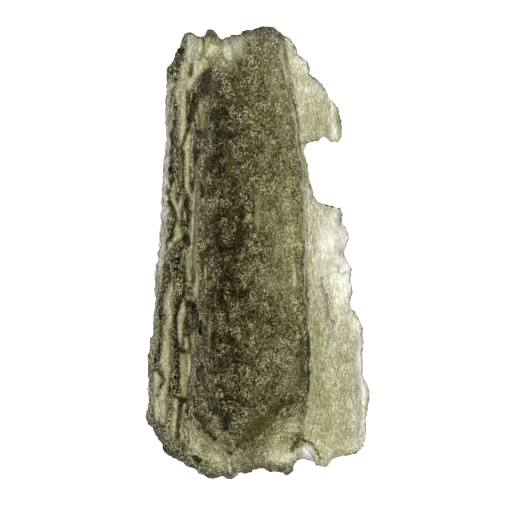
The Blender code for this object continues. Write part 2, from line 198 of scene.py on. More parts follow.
# the left edge, the foot and the flange, which are low and thin
edges = {
    "leftFade": (-7.6, -8.4),  # the left edge, by x, and its two ends, by y
    "leftTopFade": (17.6, 16.8),
    "leftFootFade": (-16.6, -15.8),
    "footFade": (-16.5, -18.0),  # the foot, by y
    "inwardFade": (2.2, 0.8),  # how far in from the outline they are let down
    "underside": 1.2,  # highest that the lower side is under them
    "mostLetDown": 3.0,
    "paleFade": (0.75, 0.45),  # pale band along the left edge, in from the outline
    "paleWander": 0.5,
    "paleEnd": [(-4.5, 0.15), (-1.5, 1.0)],  # y, and how pale it is from there
    "paleShade": 2.2,
    "flangeFade": (0.1, 0.5),  # past the step
    "flankFade": (-5.2, -6.4),  # the left flank, by x
    "thinGlass": 1.1,  # glass under the palest parts
    "mostThinned": 3.0,
    "thinFlangeFade": (0.2, 2.6),  # by how open to light the skin is
    "thinBodyFade": (0.8, 4.4),
    "thinBody": 0.6,
    "reliefKept": 0.6,
    "crust": 0.7,  # dark band along the broken outline
    "outlineDarkFade": (0.24, 0.04),
    "outlineDarkWander": 0.3,
    "darkEndFade": (0.3, 0.0),
    "darkEndWander": 0.2,
    "leftOutlineLessDark": 0.85,
    "leftRimOut": 0.3,  # how far off the pale band's dark outline is kept
    "flankStrands": 2.4,  # how much the strands tint the left flank
}


def letDownRims(points, ground, rim):
    # the left edge and the foot are let down until their lower side is near the floor
    x, y, _ = points.T
    leftSide = fade(x, edges["leftFade"]) * fade(y, edges["leftTopFade"])
    leftSide *= fade(y, edges["leftFootFade"])
    lowered = np.maximum(leftSide, fade(y, edges["footFade"])) * fade(rim, edges["inwardFade"])
    lowered *= np.clip(ground - edges["underside"], 0.0, edges["mostLetDown"])
    points[:, 2] -= lowered
    ground -= lowered
    return leftSide


def thinEdges(points, ground, relief, shade, flange, upper):
    # the left edge and the palest parts of the flange are thin
    thin = flange * fade(shade, edges["thinFlangeFade"])
    thin = np.maximum(thin, edges["thinBody"] * fade(shade, edges["thinBodyFade"])) * upper
    touched = thin > tiny
    floor = ground[touched] + edges["thinGlass"] + edges["reliefKept"] * relief[touched]
    drop = np.clip(points[touched, 2] - floor, 0.0, edges["mostThinned"])
    points[touched, 2] -= drop * thin[touched]


# Line features, such as channels, are lists of places down their length: x, y and half width
# there. This is how they are cut, by the distance outside their edges.
cutting = {
    "away": 0.6,  # counts as clear of every line
    "channelWander": 0.12,
    "channelFade": (0.2, -0.2),
    "channelGlass": 0.8,  # share of its stated glass that a channel keeps
    "deepestChannel": 3.2,
    "thickWindow": 3.0,  # thicker glass is darker, and thinner glass paler
    "thinWindow": 2.0,
    "thinGain": 1.5,
    "mostAcross": 2.0,
    "streakWander": 0.06,
    "streakFade": (0.12, -0.08),
    "seamWander": 0.1,
    "seamWidth": 0.03,
    "seamFade": (0.15, -0.15),
    "seamReach": 0.3,
    "bandWander": 0.15,
    "bandFade": (0.2, -0.3),
    "smoothWindowFade": (0.1, -0.1),
    "smoothBandFade": (0.1, -0.2),
    "bandSmoothness": 0.8,
}
farAway = 9.0  # farther than any line feature reaches


def lineEdge(points, places):
    # distance outside the edge of a line feature, less than zero within it, and how far
    # across it a point lies, from -1 at its left edge to 1 at its right
    best = np.full(len(points), farAway)
    across = np.zeros(len(points))
    nodes = np.array(places)
    for start, end in zip(nodes[:-1], nodes[1:]):
        run = end[:2] - start[:2]
        away = points[:, :2] - start[:2]
        t = np.clip(away @ run / (run @ run), 0.0, 1.0)
        halfWidth = start[2] + t * (end[2] - start[2])
        offset = away - t[:, None] * run
        edge = np.hypot(*offset.T) - halfWidth
        nearer = edge < best
        best[nearer] = edge[nearer]
        across[nearer] = (offset[:, 0] / halfWidth)[nearer]
    return best, across


# smooth channels, thin enough to glow, and the glass that is left under each
channels = {
    "upperWindow": ([(-6.25, 21.3, 0.75), (-6.25, 20.3, 0.9), (-6.35, 19.6, 0.8), (-6.5, 19.0, 0.55)], 1.5),
    "upperTail": ([(-6.85, 19.1, 0.35), (-7.05, 18.5, 0.45), (-7.35, 17.7, 0.4)], 2.7),
    "shoulder": ([(-5.45, 19.0, 0.55), (-5.85, 18.6, 0.5), (-6.15, 18.1, 0.45), (-6.55, 17.5, 0.4),
        (-6.75, 17.0, 0.4), (-6.9, 16.5, 0.2)], 2.3),
    "shoulderFoot": ([(-7.0, 17.4, 0.2), (-7.45, 17.0, 0.36), (-7.5, 16.4, 0.3)], 2.7),
    "upperStrip": ([(-7.3, 16.3, 0.2), (-7.4, 15.3, 0.28), (-7.4, 13.8, 0.32), (-7.5, 12.3, 0.3),
        (-7.55, 11.3, 0.2), (-7.6, 10.7, 0.08)], 2.1),
    "upperBud": ([(-7.9, 16.6, 0.25), (-7.95, 15.9, 0.25), (-7.85, 15.0, 0.12)], 2.8),
    "middle": ([(-6.65, 12.1, 0.25), (-6.95, 11.3, 0.4), (-7.05, 10.6, 0.45), (-7.05, 10.1, 0.35),
        (-7.0, 9.3, 0.32), (-6.95, 8.3, 0.28), (-7.05, 7.3, 0.28), (-7.05, 6.5, 0.2), (-6.75, 5.9, 0.15),
        (-6.55, 5.4, 0.1)], 2.9),
    "inner": ([(-6.15, 6.9, 0.12), (-6.25, 6.0, 0.12), (-6.35, 5.1, 0.15), (-6.4, 4.6, 0.2),
        (-6.45, 3.8, 0.12), (-6.45, 2.5, 0.15), (-6.55, 1.3, 0.12), (-6.65, 0.6, 0.2)], 3.2),
    "outer": ([(-8.35, 6.9, 0.15), (-8.5, 6.1, 0.3), (-8.45, 5.4, 0.3), (-8.25, 4.9, 0.2), (-8.0, 4.5, 0.3),
        (-7.95, 4.1, 0.28), (-7.85, 3.5, 0.15)], 2.3),
    "outerBranch": ([(-7.65, 5.3, 0.2), (-7.8, 4.6, 0.28)], 1.8),
    "outerLow": ([(-8.05, 3.1, 0.15), (-7.95, 2.3, 0.35), (-7.8, 1.7, 0.3), (-8.3, 1.3, 0.25),
        (-8.55, 0.9, 0.25), (-8.75, 0.4, 0.15)], 3.2),
    "smallBud": ([(-7.25, 4.1, 0.1), (-7.25, 3.5, 0.12)], 3.0),
    "innerWide": ([(-6.65, 0.1, 0.25), (-6.8, -0.8, 0.4), (-6.85, -1.8, 0.3), (-6.7, -2.6, 0.15)], 4.0),
    "whiteStreak": ([(-6.15, -1.7, 0.12), (-6.05, -3.0, 0.22), (-6.15, -3.9, 0.2),
        (-6.25, -4.5, 0.12)], 1.1),
    "bar": ([(-8.55, -2.8, 0.1), (-8.55, -3.7, 0.2), (-8.8, -4.4, 0.35), (-8.9, -5.2, 0.45),
        (-8.75, -5.8, 0.35), (-8.75, -6.5, 0.2), (-8.75, -7.3, 0.25)], 2.4),
    "crescent": ([(-7.25, -5.1, 0.15), (-7.45, -5.8, 0.3), (-7.7, -6.5, 0.33), (-7.75, -7.3, 0.28),
        (-7.6, -7.9, 0.25), (-7.7, -8.4, 0.15), (-7.65, -9.0, 0.08)], 3.2),
    "lowBar": ([(-9.15, -7.4, 0.2), (-9.05, -8.0, 0.3), (-9.05, -9.2, 0.35), (-9.15, -10.2, 0.5),
        (-9.25, -10.9, 0.5), (-8.95, -11.5, 0.4), (-9.05, -12.3, 0.25), (-9.25, -13.5, 0.3),
        (-9.45, -14.4, 0.4), (-9.45, -15.5, 0.45), (-9.45, -16.7, 0.35)], 3.1),
    "rimPool": ([(-10.15, -12.0, 0.2), (-10.0, -12.6, 0.4), (-10.1, -13.5, 0.25),
        (-10.2, -14.2, 0.1)], 1.8),
    "rimPoolLow": ([(-10.05, -14.6, 0.15), (-10.05, -15.2, 0.3), (-9.95, -16.0, 0.3),
        (-10.05, -16.7, 0.2)], 1.6),
    "fork": ([(-7.15, -8.5, 0.15), (-7.05, -9.1, 0.2), (-7.15, -9.7, 0.12)], 3.4),
    "forkRight": ([(-6.35, -8.0, 0.2), (-6.45, -8.9, 0.2), (-6.25, -9.7, 0.15)], 4.1),
    "foot": ([(-7.35, -10.1, 0.25), (-7.45, -10.9, 0.3), (-7.2, -11.9, 0.45), (-7.35, -12.9, 0.35),
        (-7.35, -13.7, 0.3), (-7.35, -14.4, 0.2)], 4.1),
    "footBranch": ([(-6.85, -10.3, 0.12), (-6.75, -11.2, 0.25), (-6.95, -12.0, 0.3)], 3.0),
    "twinLeft": ([(-7.95, -14.3, 0.2), (-8.15, -14.9, 0.2), (-8.15, -15.7, 0.12), (-8.25, -16.5, 0.2),
        (-8.35, -17.4, 0.15), (-8.35, -18.4, 0.1)], 2.8),
    "twinRight": ([(-7.15, -14.9, 0.1), (-7.55, -15.9, 0.12), (-7.55, -16.9, 0.12), (-7.65, -17.9, 0.12),
        (-7.45, -18.5, 0.2)], 2.8),
    "whiteFlake": ([(-3.2, 21.1, 0.35), (-3.0, 20.4, 0.5), (-2.9, 19.6, 0.4)], 0.9),
    "footStreak": ([(-2.85, -20.6, 0.08), (-2.8, -21.4, 0.14), (-2.75, -22.1, 0.1)], 1.0),
}


def cutChannels(points, ground, upper, wander):
    # channels go down to the glass that is left under them
    windowEdge = np.full(len(points), cutting["away"])
    windowShadeSide = np.zeros(len(points))
    for places, glassLeft in channels.values():
        edge, across = lineEdge(points, places)
        edge += cutting["channelWander"] * wander + cutting["away"] * (1.0 - upper)
        nearer = edge < windowEdge
        windowEdge[nearer] = edge[nearer]
        # across a window its left side is painted lit and its right side painted shaded; thick glass is
        # darker and thin glass paler besides
        darker = max(0.0, glassLeft - cutting["thickWindow"])
        darker -= cutting["thinGain"] * max(0.0, cutting["thinWindow"] - glassLeft)
        most = cutting["mostAcross"]
        windowShadeSide[nearer] = np.clip(across + darker, -most, most)[nearer]
        cut = fade(edge, cutting["channelFade"])
        touched = cut > tiny
        floor = ground[touched] + cutting["channelGlass"] * glassLeft
        drop = np.clip(points[touched, 2] - floor, 0.0, cutting["deepestChannel"])
        points[touched, 2] -= drop * cut[touched]
    print("channels cut", len(channels))
    return windowEdge, windowShadeSide


# streaks of clearer glass in the etched skin, and how much more light they let through
streaks = {
    "sideLine": ([(-4.7, -6.0, 0.1), (-4.75, -7.6, 0.14), (-4.8, -9.3, 0.08)], 2.4),
    "lens": ([(0.15, 5.9, 0.12), (0.0, 4.4, 0.3), (-0.05, 3.2, 0.25), (0.1, 2.2, 0.1)], 2.0),
    "lensTwo": ([(0.75, 5.6, 0.1), (0.7, 4.0, 0.16), (0.7, 2.8, 0.1)], 1.7),
    "lensThree": ([(1.85, 1.8, 0.1), (1.85, 0.2, 0.14), (1.8, -1.2, 0.08)], 1.2),
    "lensFour": ([(0.55, 12.2, 0.1), (0.6, 11.2, 0.12)], 2.5),
    "lensFive": ([(1.1, 11.2, 0.1), (1.0, 9.8, 0.16)], 1.2),
    "spark": ([(-5.15, -1.3, 0.1), (-5.15, -2.5, 0.12)], 3.4),
    "slitLow": ([(-6.0, 9.0, 0.1), (-6.05, 7.6, 0.1)], 2.4),
    "slit": ([(-5.75, 15.2, 0.1), (-5.6, 14.2, 0.28), (-5.5, 13.0, 0.22), (-5.4, 12.0, 0.1)], 2.7),
    "fanA": ([(-5.2, -4.2, 0.1), (-5.15, -6.6, 0.12)], 1.6),
    "fanB": ([(-4.1, -3.9, 0.08), (-4.05, -6.9, 0.1)], 1.1),
    "fanC": ([(-3.2, -5.9, 0.08), (-3.15, -8.4, 0.1)], 0.9),
    "stepStreak": ([(4.2, 5.0, 0.1), (4.15, 1.4, 0.12)], 0.3),
    "stepStreakLow": ([(3.7, -1.2, 0.1), (3.75, -4.6, 0.12)], 0.8),
    "rightStreak": ([(2.9, 9.6, 0.1), (2.95, 6.8, 0.12)], 1.0),
    "upperStreak": ([(3.05, 20.4, 0.12), (3.1, 17.2, 0.14)], 0.8),
    "footStreakA": ([(1.35, -8.4, 0.08), (1.4, -11.6, 0.1)], 0.4),
}


def layStreaks(points, wander):
    # streaks of clearer glass
    clearer = np.zeros(len(points))
    for places, amount in streaks.values():
        edge = lineEdge(points, places)[0] + cutting["streakWander"] * wander
        clearer = np.maximum(clearer, amount * fade(edge, cutting["streakFade"]))
    print("clear streaks laid", len(streaks))
    return clearer


# dark sharp-bottomed lines and pockets, with their depth and how dark they are painted: painted shade in
# the crevices, pits, folds and cracks
darkLines = {
    "upperPocket": ([(-4.9, 17.9, 0.4), (-5.15, 17.2, 0.65), (-5.35, 16.4, 0.65),
        (-5.9, 15.7, 0.3)], 0.3, 0.5),
    "upperHole": ([(-6.2, 15.5, 0.3), (-6.35, 14.5, 0.4), (-6.55, 13.6, 0.3), (-6.85, 12.8, 0.2),
        (-7.05, 12.0, 0.15), (-7.35, 11.2, 0.12), (-7.65, 10.5, 0.08)], 0.5, 0.75),
    "stripSide": ([(-6.85, 16.0, 0.12), (-6.95, 14.8, 0.14), (-6.95, 13.4, 0.12)], 0.4, 0.85),
    "windowSeam": ([(-5.35, 21.3, 0.08), (-5.45, 20.1, 0.1), (-5.75, 19.4, 0.08)], 0.3, 0.4),
    "windowFold": ([(-6.6, 18.9, 0.2), (-6.75, 17.8, 0.18)], 0.3, 0.65),
    "cornerA": ([(-7.5, 20.2, 0.25), (-7.6, 19.9, 0.2)], 0.3, 0.3),
    "cornerB": ([(-7.7, 19.4, 0.2), (-8.0, 18.7, 0.25)], 0.3, 0.3),
    "edgeSeam": ([(-8.3, 13.2, 0.1), (-8.5, 11.6, 0.14), (-8.55, 10.5, 0.12), (-8.55, 8.8, 0.15),
        (-8.45, 7.5, 0.12), (-8.65, 6.7, 0.1), (-8.9, 5.8, 0.12), (-8.65, 4.9, 0.15), (-8.25, 4.1, 0.15),
        (-8.1, 3.3, 0.12), (-8.45, 2.5, 0.12), (-8.65, 1.3, 0.12)], 0.5, 0.8),
    "middleSide": ([(-7.45, 10.2, 0.12), (-7.4, 8.5, 0.1), (-7.45, 6.5, 0.15)], 0.4, 0.75),
    "innerSeam": ([(-6.35, 10.3, 0.2), (-6.15, 9.5, 0.2), (-6.35, 8.5, 0.15), (-6.45, 7.3, 0.15),
        (-6.5, 6.3, 0.1)], 0.4, 0.75),
    "blotA": ([(-6.1, 12.1, 0.2), (-5.6, 11.9, 0.22)], 0.4, 0.6),
    "blotB": ([(-6.2, 10.1, 0.3), (-5.7, 10.0, 0.3)], 0.4, 0.6),
    "innerHole": ([(-5.65, 6.6, 0.2), (-5.55, 5.7, 0.2)], 0.4, 0.7),
    "ribSeam": ([(-6.95, 5.8, 0.15), (-7.1, 4.8, 0.2), (-6.95, 3.8, 0.15), (-6.95, 2.6, 0.15)], 0.4, 0.6),
    "ribHole": ([(-7.2, 1.6, 0.28), (-6.95, 1.0, 0.32)], 0.3, 0.9),
    "troughSeam": ([(-7.35, -0.9, 0.1), (-7.25, -3.2, 0.12), (-7.35, -4.2, 0.15), (-7.75, -4.9, 0.2),
        (-8.05, -5.9, 0.15), (-8.2, -6.9, 0.2), (-8.15, -7.7, 0.12)], 0.5, 0.85),
    "barSide": ([(-8.95, -1.2, 0.1), (-8.75, -2.2, 0.12), (-8.75, -2.9, 0.12)], 0.4, 0.6),
    "pocket": ([(-6.95, -5.2, 0.3), (-6.55, -5.9, 0.6), (-6.6, -6.9, 0.75), (-6.9, -7.7, 0.5),
        (-7.1, -8.1, 0.3)], 0.3, 0.45),
    "pocketRim": ([(-7.1, -4.95, 0.12), (-6.6, -4.95, 0.14), (-6.2, -5.25, 0.12)], 0.4, 0.9),
    "pocketSide": ([(-5.65, -6.8, 0.1), (-5.65, -7.4, 0.14), (-5.65, -8.1, 0.1)], 0.4, 0.9),
    "pocketFoot": ([(-8.2, -8.6, 0.15), (-7.85, -9.4, 0.2), (-7.4, -9.9, 0.2),
        (-7.2, -9.7, 0.12)], 0.5, 0.95),
    "troughRight": ([(-7.95, -9.9, 0.12), (-7.85, -11.7, 0.14), (-7.9, -13.7, 0.12)], 0.4, 0.75),
    "troughFoot": ([(-8.75, -13.2, 0.12), (-8.5, -14.2, 0.15), (-7.95, -14.5, 0.12)], 0.4, 0.7),
    "footHole": ([(-7.6, -14.7, 0.3), (-7.25, -14.75, 0.3)], 0.3, 1.0),
    "twinSeam": ([(-7.65, -15.2, 0.15), (-7.8, -16.7, 0.17), (-7.95, -17.7, 0.15),
        (-7.95, -18.7, 0.15)], 0.5, 0.75),
    "barSeam": ([(-9.3, -0.6, 0.1), (-9.3, -2.7, 0.12), (-9.6, -4.7, 0.14), (-9.55, -6.4, 0.12),
        (-9.65, -8.6, 0.14), (-9.8, -10.6, 0.12)], 0.4, 0.5),
    "rimHook": ([(-10.5, -11.7, 0.08), (-9.95, -11.7, 0.1), (-9.5, -12.3, 0.12), (-9.3, -12.8, 0.12),
        (-9.7, -13.4, 0.1)], 0.3, 0.85),
    "crescentPit": ([(-5.0, 0.4, 0.12), (-4.75, 0.6, 0.2), (-4.15, 0.6, 0.25), (-3.55, 0.4, 0.2),
        (-2.55, 0.4, 0.12)], 0.4, 0.6),
    "crescentArm": ([(-5.8, -0.9, 0.1), (-5.45, -0.1, 0.12), (-5.0, 0.4, 0.12)], 0.3, 0.3),
    "bodyLine": ([(-4.4, -5.9, 0.15), (-4.3, -7.7, 0.2), (-4.4, -9.5, 0.15)], 0.4, 0.5),
    "stepUpper": ([(2.35, 21.0, 0.08), (2.6, 17.8, 0.12), (3.0, 16.5, 0.12), (3.5, 15.4, 0.12),
        (3.95, 13.0, 0.12), (4.0, 11.4, 0.1), (4.2, 10.2, 0.1), (4.6, 6.8, 0.1)], 0.2, 0.5),
    "stepLine": ([(4.6, 6.8, 0.1), (4.6, 5.2, 0.16), (4.78, 2.3, 0.16), (4.68, 0.6, 0.18),
        (4.62, -1.8, 0.16), (4.68, -3.4, 0.18), (4.85, -5.4, 0.14), (5.05, -7.4, 0.1)], 0.15, 0.65),
    "stepCrack": ([(5.1, -7.4, 0.06), (5.1, -8.4, 0.12), (5.15, -10.4, 0.12), (5.1, -11.4, 0.05),
        (5.1, -12.3, 0.13), (5.1, -12.9, 0.12), (5.0, -14.3, 0.06)], 0.2, 1.0),
    "flangeCrack": ([(6.45, -2.5, 0.07), (6.45, -3.2, 0.08), (6.95, -4.2, 0.09), (7.05, -5.2, 0.06),
        (7.2, -6.4, 0.07), (7.8, -7.1, 0.05)], 0.2, 0.35),
    "dimpleArc": ([(8.1, -1.3, 0.06), (8.15, -1.9, 0.08), (8.6, -2.2, 0.07), (9.0, -1.9, 0.06)], 0.2, 0.25),
    "lensArc": ([(3.4, -19.6, 0.14), (3.8, -18.9, 0.12), (4.6, -18.7, 0.08), (5.4, -19.0, 0.08),
        (5.9, -19.8, 0.06), (6.3, -20.6, 0.05)], 0.3, 0.8),
    "notchLine": ([(3.9, -19.2, 0.05), (4.1, -20.3, 0.05)], 0.1, 0.25),
    "notchFold": ([(4.5, -19.2, 0.04), (5.3, -20.0, 0.05), (5.8, -20.8, 0.04)], 0.1, 0.35),
    "lensShadow": ([(-0.25, 6.3, 0.05), (-0.45, 4.2, 0.07), (-0.4, 2.0, 0.06)], 0.1, 0.4),
    "darkNick": ([(1.9, -15.7, 0.14), (2.0, -15.9, 0.12)], 0.3, 0.9),
    "footArc": ([(-7.8, -19.3, 0.1), (-7.45, -19.0, 0.12), (-7.1, -19.8, 0.1)], 0.3, 0.55),
    "footPitA": ([(-2.85, -19.9, 0.14), (-2.65, -20.0, 0.14)], 0.3, 1.0),
    "footPitB": ([(-6.3, -20.4, 0.2), (-5.8, -20.7, 0.24)], 0.5, 0.95),
    "bodyPitA": ([(-6.2, -16.0, 0.18), (-5.7, -16.6, 0.2), (-5.3, -17.2, 0.28)], 0.4, 0.6),
    "bodyPitB": ([(-2.9, -16.0, 0.2), (-3.4, -16.7, 0.3), (-3.1, -17.3, 0.3)], 0.4, 0.85),
    "bodyPitC": ([(-5.2, -17.7, 0.1), (-4.7, -17.8, 0.14), (-4.3, -18.4, 0.2)], 0.3, 1.0),
    "bodyPitD": ([(-2.7, -17.9, 0.1), (-1.8, -18.0, 0.1)], 0.3, 1.0),
}


def cutDarkLines(points, upper, wander):
    # only near a line is the skin painted with shade as dark as that line says
    seamEdge = np.full(len(points), cutting["away"])
    seamShade = np.zeros(len(points))
    for places, depth, dark in darkLines.values():
        edge = lineEdge(points, places)[0] - cutting["seamWidth"]
        edge += cutting["seamWander"] * wander + cutting["away"] * (1.0 - upper)
        points[:, 2] -= depth * fade(edge, cutting["seamFade"])
        nearer = edge < seamEdge
        seamEdge[nearer] = edge[nearer]
        within = edge < cutting["seamReach"]
        seamShade[within] = np.maximum(seamShade, dark)[within]
    print("dark lines cut", len(darkLines))
    return seamEdge, seamShade


# smooth olive bands on the body, where no cups were etched, with their depth
smoothBands = {
    "diagonal": ([(3.0, -14.8, 0.1), (2.2, -15.3, 0.35), (1.3, -16.2, 0.6), (0.2, -17.2, 0.7),
        (-1.0, -18.2, 0.6), (-2.0, -19.1, 0.2)], 0.3),
    "streak": ([(-2.7, 17.4, 0.1), (-2.1, 16.0, 0.25), (-1.6, 15.2, 0.3), (-0.8, 14.6, 0.1)], 0.2),
    "stepBand": ([(4.3, -7.4, 0.15), (4.5, -9.6, 0.3), (4.4, -12.0, 0.3), (4.2, -13.6, 0.2)], 0.1),
    "columnPool": ([(-2.9, 10.4, 0.1), (-2.7, 8.8, 0.3), (-3.0, 7.4, 0.2)], 0.1),
}


def pressBands(points, upper, wander):
    # smooth olive bands
    bandEdge = np.full(len(points), cutting["away"])
    for places, depth in smoothBands.values():
        edge = lineEdge(points, places)[0] + cutting["bandWander"] * wander
        edge += cutting["away"] * (1.0 - upper)
        points[:, 2] -= depth * fade(edge, cutting["bandFade"])
        bandEdge = np.minimum(bandEdge, edge)
    print("smooth bands pressed", len(smoothBands))
    return bandEdge


# dark bands along the broken ends
darkEnds = {
    "topDarkEnd": ([(-1.4, 22.1, 0.2), (-0.6, 22.0, 0.2), (0.5, 22.3, 0.35), (1.9, 22.2, 0.3),
        (2.3, 21.8, 0.2)], 0.8),
    "topCorner": ([(-8.9, 18.3, 0.25), (-8.3, 19.2, 0.35), (-7.9, 20.1, 0.35), (-7.5, 21.2, 0.25)], 0.5),
    "topBump": ([(-5.2, 21.8, 0.2), (-4.7, 22.1, 0.3), (-4.0, 21.8, 0.2)], 0.6),
    "lowCorner": ([(-10.9, -16.5, 0.2), (-10.2, -17.8, 0.4), (-9.6, -19.3, 0.6), (-8.6, -20.2, 0.6),
        (-7.6, -20.6, 0.4)], 0.65),
    "lowLeft": ([(-7.6, -20.6, 0.3), (-6.4, -21.3, 0.35), (-5.2, -22.0, 0.3), (-4.2, -22.5, 0.35),
        (-3.4, -22.2, 0.25), (-2.7, -22.5, 0.25)], 0.7),
    "spike": ([(-1.4, -21.9, 0.2), (-0.9, -22.0, 0.3)], 0.95),
    "lowMiddle": ([(-0.6, -21.6, 0.25), (0.8, -21.5, 0.3), (2.0, -21.7, 0.3), (3.0, -22.0, 0.3)], 0.75),
}


def darkenOutline(points, rim, wander, paleEdge, flange):
    # darkening along the broken outline
    crust = edges["crust"] * fade(rim - edges["outlineDarkWander"] * wander, edges["outlineDarkFade"])
    crust *= (1.0 - edges["leftOutlineLessDark"] * paleEdge) * (1.0 - flange)
    for places, dark in darkEnds.values():
        edge = lineEdge(points, places)[0] - edges["darkEndWander"] * wander
        crust = np.maximum(crust, dark * fade(edge, edges["darkEndFade"]))
    print("crusts laid", len(darkEnds))
    return crust


# the step from the body down to the flange: y and x along it, and its fall past that
stepFall = {
    "line": [(-22.5, 3.8), (-12, 5.05), (0, 4.66), (8, 4.5), (16, 3.4), (22, 2.4)],
    "start": 0.14,
    "end": 0.8,
    "foot": 0.85,
    "rise": 0.4,  # back up from its foot, for each mm
    "upperLeast": 0.2,
}
overStone = 20.0  # a height over the whole stone


def steepenStep(points, upper, tree):
    # the step down to the flange falls more steeply than in the solid
    lineY, lineX = zip(*stepFall["line"])
    step = np.interp(points[:, 1], lineY, lineX)
    past = points[:, 0] - step
    onFall = (past > stepFall["start"]) & (past < stepFall["end"])
    for index in np.flatnonzero(onFall & (upper > stepFall["upperLeast"])):
        foot = Vector((step[index] + stepFall["foot"], points[index, 1], overStone))
        hit = tree.ray_cast(foot, Vector((0.0, 0.0, -1.0)))[0]
        if hit is not None:
            height = hit.z + stepFall["rise"] * (stepFall["foot"] - past[index])
            points[index, 2] = min(points[index, 2], height)
    return past


# parts of the etched skin that let more or less light through: x, y, reach across and
# along, and how much
shades = {
    "topBumps": (-4.6, 20.3, 1.3, 1.2, 3.2),
    "topFlake": (-2.3, 20.8, 1.0, 1.5, 4.0),
    "topEdge": (0.0, 21.8, 2.4, 0.6, 0.9),
    "shoulderRight": (-3.5, 18.7, 1.4, 0.6, 1.0),
    "underShoulder": (-4.0, 17.1, 1.0, 1.1, -0.8),
    "darkColumnUpper": (-3.9, 13.3, 1.7, 4.5, -1.2),
    "darkColumnRight": (-2.0, 12.5, 1.2, 2.8, -0.6),
    "darkColumnMiddle": (-3.7, 3.8, 2.0, 5.5, -1.08),
    "darkColumnTwist": (-1.9, 3.2, 1.1, 3.2, -1.2),
    "darkMiddle": (-3.2, -1.9, 2.6, 2.0, -1.2),
    "darkMiddleLow": (-3.9, -4.8, 1.6, 1.4, -1.2),
    "darkColumnLower": (-3.3, -9.8, 2.2, 4.6, -1.3),
    "darkFoot": (-3.0, -15.6, 1.5, 1.3, -1.8),
    "darkFootLeft": (-5.5, -16.5, 0.7, 0.7, -0.8),
    "darkFlankUpper": (-8.7, 12.6, 0.7, 1.9, -1.0),
    "darkFlankMiddle": (-5.5, 11.0, 0.7, 1.3, -0.9),
    "darkFlankFoot": (-6.0, -12.0, 0.8, 4.2, -1.1),
    "innerGlow": (-5.5, -2.0, 0.6, 1.8, 0.9),
    "openTop": (0.5, 19.3, 2.2, 1.6, 0.3),
    "openRightUpper": (2.7, 12.3, 1.2, 5.0, 0.7),
    "flapRoot": (3.2, 18.8, 0.8, 1.6, 0.7),
    "openRight": (3.2, 3.4, 1.5, 4.6, 1.25),
    "openMiddle": (0.5, -2.2, 1.6, 1.2, 0.5),
    "openRightLower": (3.4, -3.7, 1.0, 4.0, 0.5),
    "greyRight": (3.2, -9.7, 0.8, 3.0, 0.3),
    "footRight": (2.2, -20.4, 1.8, 1.2, 3.8),
    "footMiddle": (-3.8, -20.3, 2.2, 1.2, 2.3),
    "footLeft": (-6.0, -18.2, 1.7, 1.5, 2.0),
    "footCorner": (-8.1, -17.8, 1.4, 1.2, 2.0),
    "footFar": (3.3, -17.3, 1.4, 1.2, 2.8),
    "footFarEdge": (1.6, -18.4, 0.9, 0.8, 1.6),
    "bandEnd": (-0.9, -19.0, 0.8, 0.5, -1.2),
    "lensShade": (4.6, -18.4, 1.0, 0.4, -1.6),
    "notchGlass": (4.8, -20.2, 0.9, 0.9, 4.6),
    "topLeftWindowSide": (-6.0, 20.2, 0.5, 1.4, 1.2),
    "underFlake": (-3.2, 18.6, 1.0, 0.6, 1.2),
    "flankBrow": (-6.2, 17.6, 0.6, 1.0, 1.0),
    "columnSpot": (-3.2, 7.0, 0.7, 0.8, 0.9),
    "footShadow": (-3.2, -16.3, 0.8, 0.7, -1.2),
    "diagonalEnd": (3.0, -14.9, 0.7, 0.6, -1.2),
    "glowUpper": (1.9, 17.0, 1.2, 1.8, 0.9),
    "glowMiddle": (2.7, 1.6, 1.3, 3.2, 0.8),
    "glowStep": (3.2, -2.6, 1.1, 1.5, 0.6),
    "glowLow": (3.6, -10.7, 0.9, 1.8, 0.7),
    "darkTrough": (-7.9, -10.8, 0.6, 2.6, -1.7),
    "darkTroughUpper": (-8.2, -0.1, 0.9, 2.2, -1.5),
    "darkSlot": (-6.2, 11.8, 0.5, 0.8, -1.7),
    "darkSlotLow": (-6.3, 4.3, 0.4, 1.2, -1.5),
    "slotGlow": (-6.2, -1.4, 0.45, 1.3, 2.6),
    "topSpot": (1.3, 16.0, 0.8, 2.4, 0.8),
    "rightSpot": (1.9, -3.2, 1.6, 0.8, 1.2),
    "innerSpot": (-4.7, -3.2, 0.5, 0.6, 1.8),
    "upperSpot": (-4.7, 14.8, 0.6, 0.6, 1.8),
    "curlSpot": (-3.2, 5.0, 0.7, 1.0, 0.9),
    "lowSpot": (2.7, -12.9, 1.7, 1.0, 0.9),
    "footSpot": (-6.2, -19.3, 0.6, 1.0, 1.6),
    "darkTwistFoot": (-1.8, 1.3, 0.8, 0.9, -1.2),
    "darkBelly": (-1.5, -3.7, 1.2, 0.8, -1.4),
    "darkInner": (-4.3, 8.5, 1.1, 1.0, -1.3),
    "darkSpine": (-3.2, 10.3, 0.8, 1.8, -0.3),
    "darkHeel": (-2.4, -15.2, 1.5, 0.7, -1.5),
    "darkStepFoot": (2.8, -15.2, 0.6, 0.6, -1.2),
    "darkRib": (-9.0, 0.6, 0.5, 1.0, -0.9),
    "flangeMiddle": (7.35, -10.0, 1.1, 5.5, 1.9),
    "flangeRoot": (6.0, -11.5, 1.1, 6.0, -1.6),
    "flangeLow": (7.6, -13.5, 1.9, 7.0, -2.0),
    "flangePale": (8.95, -0.4, 1.9, 6.0, 2.3),
    "flangeUpper": (6.4, 0.5, 1.4, 5.0, 1.0),
    "flangePaleLow": (10.85, -10.8, 1.2, 7.5, 2.7),
    "flapTop": (4.8, 18.8, 1.0, 2.2, 1.1),
    "flapEdge": (5.7, 16.0, 1.5, 0.8, 1.6),
    "flapRight": (7.6, 12.3, 0.6, 1.4, 1.8),
    "flapCore": (5.8, 13.8, 1.4, 2.2, -1.7),
}


